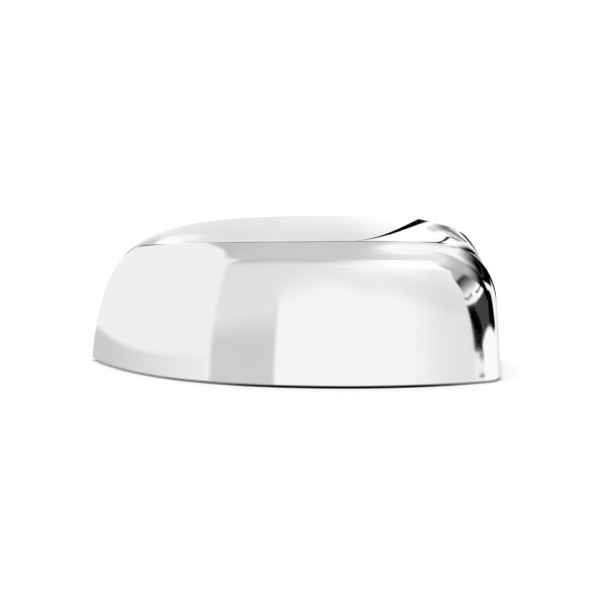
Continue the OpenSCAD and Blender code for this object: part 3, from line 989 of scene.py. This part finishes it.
def rear_light(behind, elevation):
    """White wall behind the cover, with the dark seams that draw the crease and fill the step's bevel."""
    inboard = mix(0.97, 0.82, within(elevation, 11, 20))
    light = mix(inboard, 1.1, soft_step(behind, 0.8, 2.0))
    dim = (1 - soft_step(behind, -11.3, 6)) * panel(behind, -16, 0, 1, 1)
    light = mix(light, 0.5, dim * panel(elevation, -2, 23, 3, 2))
    lit = elevation - np.interp(behind, [-11, -8.4, -7.3, -5], [15.4, 18.2, 19.1, 20.3])
    light = mix(light, 1.08, soft_step(lit, 0.2, 1.0) * panel(behind, -13, -5.4, 1.5, 1))
    dark = (0.1, (-23, -15.3, 1, 0.8), (12, 25, 2, 1.5))
    white = (1.1, (-22, -10, 1, 1), (26, 40, 1.5, 2))
    seam_foot = mix(23, 30, soft_step(behind, 0.3, 1.6))
    seam = (0.03, (-9.8, 26, 1.2, 3), (seam_foot, 36.5, 1.5, 1.5))
    # Grey shelf low behind the shoulder, with two darker edges
    top = np.interp(behind, [4.0, 5.0, 6.2, 7.2, 8.4, 9.4, 10.4], [11.2, 8.8, 8.4, 10.8, 11.2, 10.6, 9.0])
    shelf = (0.68, (3.4, 10.4, 1, 0.8), (1.0, top, 2, 1.4))
    light = lay(light, behind, elevation, dark, white, seam, shelf)
    low = elevation - np.interp(behind, [4.8, 5.3, 6.2, 7.6, 8.4, 9.2], [7.0, 6.0, 4.8, 4.6, 4.2, 2.8])
    light = lay(light, behind, low, (0.22, (4.6, 9.9, 0.5, 0.6), (-1.3, 1.1, 1, 1)))
    high = elevation - np.interp(behind, [6.4, 7.0, 7.9, 9.2], [9.9, 9.3, 9.0, 8.8])
    light = lay(light, behind, high, (0.33, (6.3, 9.8, 0.6, 0.6), (-1.1, 1.1, 1, 1)))
    # Black seam of the bevel, with a grey margin
    seam = np.interp(elevation, [10, 15, 19, 22, 24, 26, 30, 34], [6.35, 6.6, 6.8, 6.7, 6.3, 5.9, 4.2, 1.5])
    near = np.interp(elevation, [10, 16, 20, 23, 34], [0.3, 0.45, 0.9, 1.5, 2.5])
    far = np.interp(elevation, [10, 16, 20, 23], [0.5, 0.6, 0.7, 4.0])
    upright = (10.5, 34, 0.8, 2)
    margin = (0.3, (-near - 0.2, far + 0.4, 0.2, 0.3), upright)
    black = (0.0, (-near, far, 0.15, 0.2), upright)
    light = lay(light, behind - seam, elevation, margin, black)
    # Dark foot that draws the outline of the shoulder, and a grey one below it
    dark = (0.06, (1.5, 9.5, 1, 2), (-7.5, -1.0, 1.5, 1.5))
    grey = (0.4, (1, 9, 1, 1), (-11, -9, 1, 1))
    return lay(light, behind, elevation, dark, grey)


def surround_light(direction):
    """Brightness of the studio that the plating mirrors, seen from the cover in each direction.

    Azimuth is 0 straight back, 90 to the outboard side and 180 towards the camera.
    """
    x, y, z = np.moveaxis(direction, -1, 0)
    azimuth = np.degrees(np.arctan2(x, y)) % 360
    elevation = np.degrees(np.arcsin(np.clip(z, -1, 1)))
    behind = (azimuth + 180) % 360 - 180
    # Inboard wall, greyer at its foot
    foot = mix(0.92, 0.67, within(azimuth, 228, 298))
    light = lay(0.97, azimuth, elevation, (foot, (224, 335, 2, 15), (DOWN, -5, 1, 1.4)))
    ceiling, cover = ceiling_light(azimuth, elevation, x, y, z)
    is_front = panel(azimuth, 140, 222, 1, mix(3.0, 7.0, soft_step(elevation, 15, 20)))
    light = mix(light, front_light(azimuth, elevation), is_front)
    is_rear = panel(behind, -24, 40, 2, 1) * (1 - soft_step(elevation, 37.5, 2))
    light = mix(light, ceiling, cover * soft_step(elevation, 33.8, 2))
    light = mix(light, rear_light(behind, elevation), is_rear)
    # The dark room shows beyond a sharp edge at the front and fades in at the rear
    edge = np.interp(elevation, [0.6, 1.1, 2.1, 5.6, 15, 32], [142.65, 142.75, 144.5, 145.4, 146.6, 147.4])
    is_dark = soft_step(azimuth, mix(13, 8, soft_step(elevation, 38, 6)), 6)
    is_dark *= 1 - soft_step(azimuth, edge, 0.4)
    room = dark_room_light(azimuth, elevation)
    light = mix(light, np.minimum(light, room), is_dark * soft_step(elevation, 20, 20))
    light = mix(light, room, is_dark * (1 - soft_step(elevation, 30, 20)))
    # Under the rim: the cover's own shadow
    return lay(light, azimuth, elevation, (0.12, (130, 245, 20, 20), (DOWN, -17, 1, 6)))


def build_surround():
    """Far sphere that shows only in the plating: a brightness for each point, closer where it is busy."""
    # Degrees, closer at the bevel's seam, at the edge of the dark room and near the horizon
    around = np.concatenate([np.arange(0, 360, 0.75), np.arange(0, 12, 0.15), np.arange(136, 148, 0.1)])
    around = np.radians(np.unique(np.round(around, 3)))
    up = np.concatenate([np.linspace(-90, 90, 181), np.arange(-12, 16, 0.25), np.arange(-1, 3.5, 0.1)])
    up = np.radians(np.unique(np.round(up, 3)))[:, None]
    flat_x, flat_y = np.cos(up) * np.sin(around), np.cos(up) * np.cos(around)
    direction = np.moveaxis(np.stack([flat_x, flat_y, np.sin(up) + 0 * around], -1), 1, 0)
    points = (CENTRE + SURROUND_RADIUS * direction).reshape(-1, 3)
    faces = grid_faces(direction, closed=True)
    mesh = fill_mesh("studio_surround", points, faces.ravel(), 4 * np.arange(len(faces)))
    keep_on_points(mesh, "light", surround_light(direction))
    surround = into_scene("studio_surround", mesh)
    material, tree = new_material("studio_surround")
    glow = add(tree, "ShaderNodeEmission", Strength=kept_value(tree, "light"))
    add(tree, "ShaderNodeOutputMaterial", Surface=glow.outputs[0])
    material.cycles.emission_sampling = "NONE"
    mesh.materials.append(material)
    for sight in ("camera", "diffuse", "shadow", "volume_scatter"):
        setattr(surround, "visible_" + sight, False)


def floor_outline():
    """The cover's footprint, a loop of plan points: along the bottom rim and back straight behind it."""
    stations = np.linspace(0, SIDE_END, 133)
    along = soften(rim, stations)
    back = mix(along[-1], along[0], np.linspace(0, 1, 41)[1:-1, None])
    return np.concatenate([along, back]) - [0, DEPTH / 2], np.arange(len(along) + len(back)) >= len(along)


def build_floor():
    """Flat floor in rings round the footprint, with a near-black painted contact shadow under the front of
    the rim.

    Its paper glows a little where it is seen, but not close inside the rim, so the painted contact shadow
    there stays dark. Both are values on its points.
    """
    outline, open_side = floor_outline()
    middle = outline.mean(0)
    arm = outline - middle
    reach = np.linalg.norm(arm, axis=1, keepdims=True)
    # Six rings from far outside the footprint to inside it, and the middle, with the shares on each
    steps = (20.0, 0.0022, 0.0006, 0.0, -0.008, -0.025)
    # Painted contact shadow: the rings from just outside the rim to 8 mm inside it are coloured near black
    # and get little or no glow
    glow_share = np.array([1.0, 1.0, 0.5, 0.0, 0.0, 1.0, 1.0])[:, None]
    painted_shadow_share = np.array([0.0, 0.0, 0.9, 1.0, 1.0, 0.0, 0.0])[:, None]
    rings = [middle + arm * (reach + more) / reach for more in steps]
    rings = np.stack(rings + [np.repeat(middle[None], len(outline), 0)])
    glow = np.where(open_side, 1.0, glow_share)
    # The painted contact shadow fades towards both ends, and up the outboard side
    places = [-0.115, -0.085, -0.068, -0.050, -0.033, -0.015, 0.079, 0.091, 0.102, 0.114]
    strength = np.interp(outline[:, 0], places, [0.2, 0.3, 0.45, 0.55, 0.9, 1, 1, 0.85, 0.55, 0.25])
    strength *= np.where(outline[:, 0] > 0.1, np.clip(-outline[:, 1] / 0.012, 0, 1), 1.0)
    painted_contact_shadow = np.where(open_side, 0.0, painted_shadow_share * strength)
    points = np.moveaxis(np.concatenate([rings, np.full(rings.shape[:2] + (1,), FLOOR_Z)], -1), 1, 0)
    mesh = bpy.data.meshes.new("studio_floor")
    mesh.from_pydata(points.reshape(-1, 3).tolist(), [], grid_faces(points, closed=True).tolist())
    keep_on_points(mesh, "glow", glow.T)
    keep_on_points(mesh, "painted_contact_shadow", painted_contact_shadow.T)
    floor = into_scene("studio_floor", mesh)
    material, tree = new_material("studio_floor")
    # Painted shadow: the paper turns near black where the painted contact shadow lies
    colour = two_tone(tree, kept_value(tree, "painted_contact_shadow"), (0.93, 0.93, 0.93), (0.004, 0.004, 0.004))
    paper = add(tree, "ShaderNodeBsdfDiffuse", Color=colour)
    seen = reckon(tree, "MULTIPLY", seen_directly(tree), kept_value(tree, "glow"))
    light = add(tree, "ShaderNodeEmission", Strength=reckon(tree, "MULTIPLY", seen, 0.22))
    both = add(tree, "ShaderNodeAddShader")
    for socket, shader in zip(both.inputs, (paper, light)):
        tree.links.new(shader.outputs[0], socket)
    add(tree, "ShaderNodeOutputMaterial", Surface=both.outputs[0])
    mesh.materials.append(material)
    floor.visible_glossy = False


def seen_directly(tree):
    """1 where the camera, a mirror or clear material looks, 0 for light on its way."""
    path = add(tree, "ShaderNodeLightPath")
    seen = reckon(tree, "MAXIMUM", path.outputs["Is Camera Ray"], path.outputs["Is Glossy Ray"])
    return reckon(tree, "MAXIMUM", seen, path.outputs["Is Transmission Ray"])


def build_world():
    """White to the camera and in mirrors, and soft even light on everything dull."""
    world = bpy.data.worlds.new("studio_world")
    bpy.context.scene.world = world
    world.use_nodes = True
    tree = world.node_tree
    tree.nodes.clear()
    soft = add(tree, "ShaderNodeBackground", Color=(1, 1, 1, 1), Strength=0.78)
    white = add(tree, "ShaderNodeBackground", Color=(1, 1, 1, 1), Strength=1.0)
    blend = add(tree, "ShaderNodeMixShader")
    for socket, source in zip(blend.inputs, (seen_directly(tree), soft.outputs[0], white.outputs[0])):
        tree.links.new(source, socket)
    add(tree, "ShaderNodeOutputWorld", Surface=blend.outputs[0])


def build_lamp():
    """Square lamp high over the cover, which the plating doesn't mirror."""
    lamp = bpy.data.lights.new("overhead_lamp", "AREA")
    lamp.shape = "SQUARE"
    lamp.size = 1.6
    lamp.energy = 7.5
    holder = into_scene("overhead_lamp", lamp)
    holder.location = (0.1, 0.1, 1.8)
    holder.visible_glossy = False


def build_camera():
    """Long lens, level with the photo: from the front, 12 degrees above the horizon."""
    distance, elevation = 8.0, math.radians(12)
    sensor, view_width = 36, 0.352
    aim = np.array([0.00258, 0.0, 0.0432])
    data = bpy.data.cameras.new("camera")
    data.sensor_width = sensor
    data.lens = sensor * distance / view_width
    data.clip_start, data.clip_end = 0.1, 50
    camera = into_scene("camera", data)
    camera.location = aim + distance * np.array([0, -math.cos(elevation), math.sin(elevation)])
    camera.rotation_euler = (math.pi / 2 - elevation, 0, 0)
    bpy.context.scene.camera = camera


bpy.context.scene.view_settings.view_transform = "Standard"
build_camera()
build_world()
build_floor()
build_surround()
build_lamp()
build_cover()
